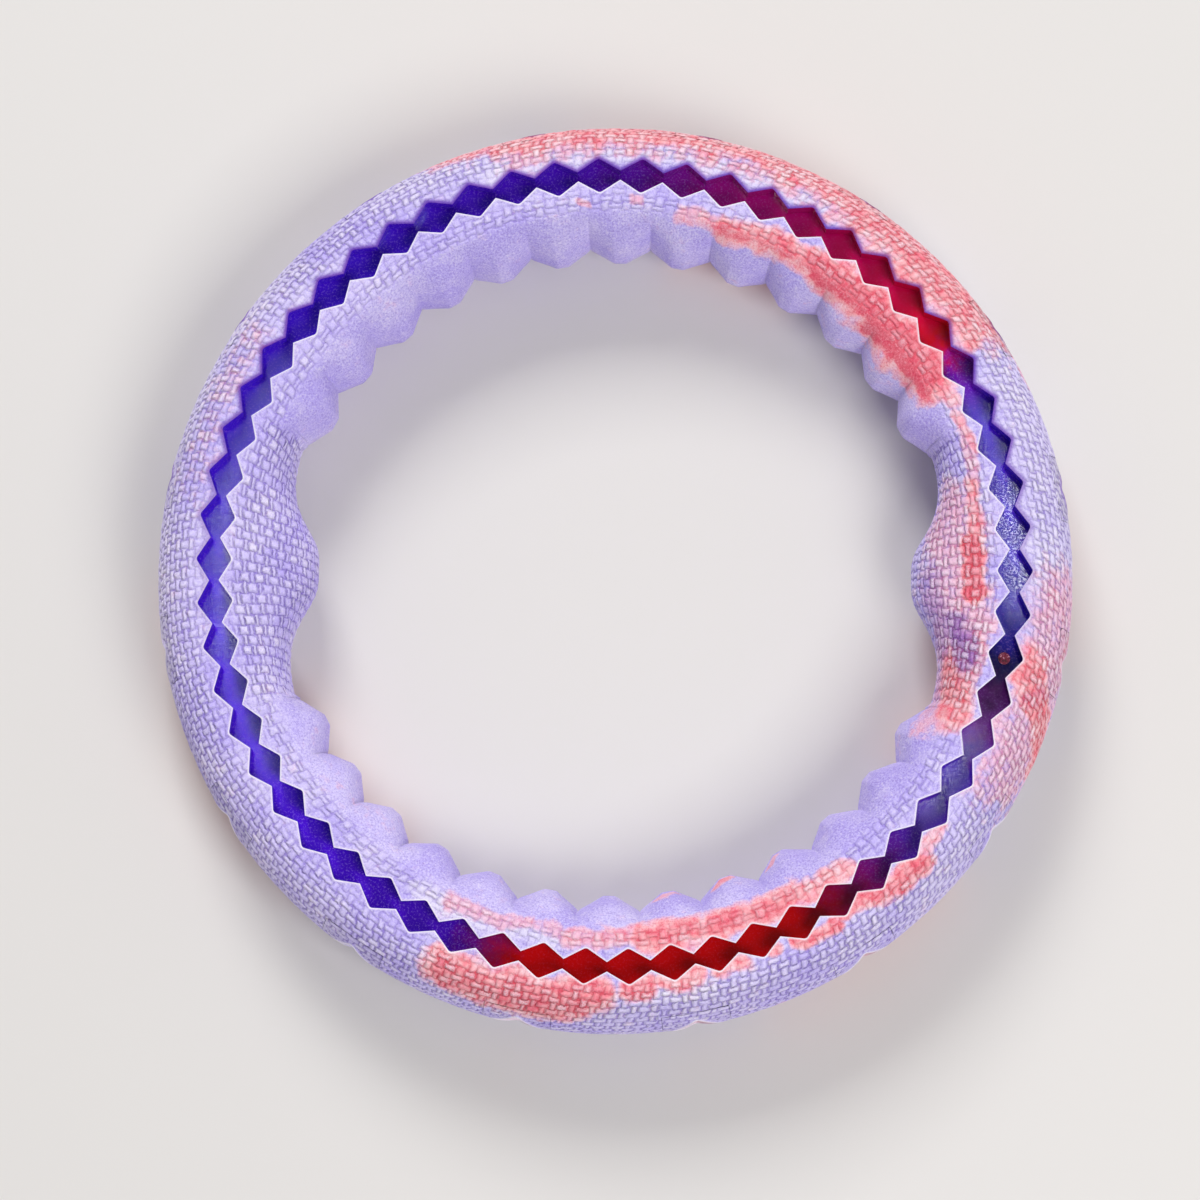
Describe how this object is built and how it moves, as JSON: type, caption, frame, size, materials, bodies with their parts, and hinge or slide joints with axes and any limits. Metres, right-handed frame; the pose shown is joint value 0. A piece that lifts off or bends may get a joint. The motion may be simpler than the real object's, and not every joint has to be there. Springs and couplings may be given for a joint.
{
  "type": "juggling ring",
  "caption": "Chunky moulded foam throwing and juggling ring with two palm grips, finger knobs on the inner edge and a sunken chain of diamonds on each face.",
  "frame": {"origin": "on the ring's axis, at the level of the flat land of the back face on which the ring lies", "axes": "+Z along the ring's axis, out of the patterned front face; the two palm grips lie on +X and -X, and the two arcs of finger knobs are centred on +Y and -Y"},
  "size_m": [0.28, 0.28, 0.04],
  "materials": {
    "foam": "marbled lavender and coral closed-cell foam with a moulded basket weave",
    "dense_lining": "smooth satin dense skin, marbled deep violet and deep red",
    "gate": "satin"
  },
  "bodies": {
    "root": {"foam_ring": "foam", "front_chain_lining": "dense_lining", "back_chain_lining": "dense_lining", "gate_mark": "gate", "rim_pocket_lining_01": "dense_lining", "rim_pocket_lining_02": "dense_lining", "rim_pocket_lining_03": "dense_lining", "rim_pocket_lining_04": "dense_lining", "rim_pocket_lining_05": "dense_lining", "rim_pocket_lining_06": "dense_lining", "rim_pocket_lining_07": "dense_lining", "rim_pocket_lining_08": "dense_lining", "rim_pocket_lining_09": "dense_lining", "rim_pocket_lining_10": "dense_lining", "rim_pocket_lining_11": "dense_lining", "rim_pocket_lining_12": "dense_lining", "rim_pocket_lining_13": "dense_lining", "rim_pocket_lining_14": "dense_lining", "rim_pocket_lining_15": "dense_lining", "rim_pocket_lining_16": "dense_lining"}
  },
  "joints": []
}
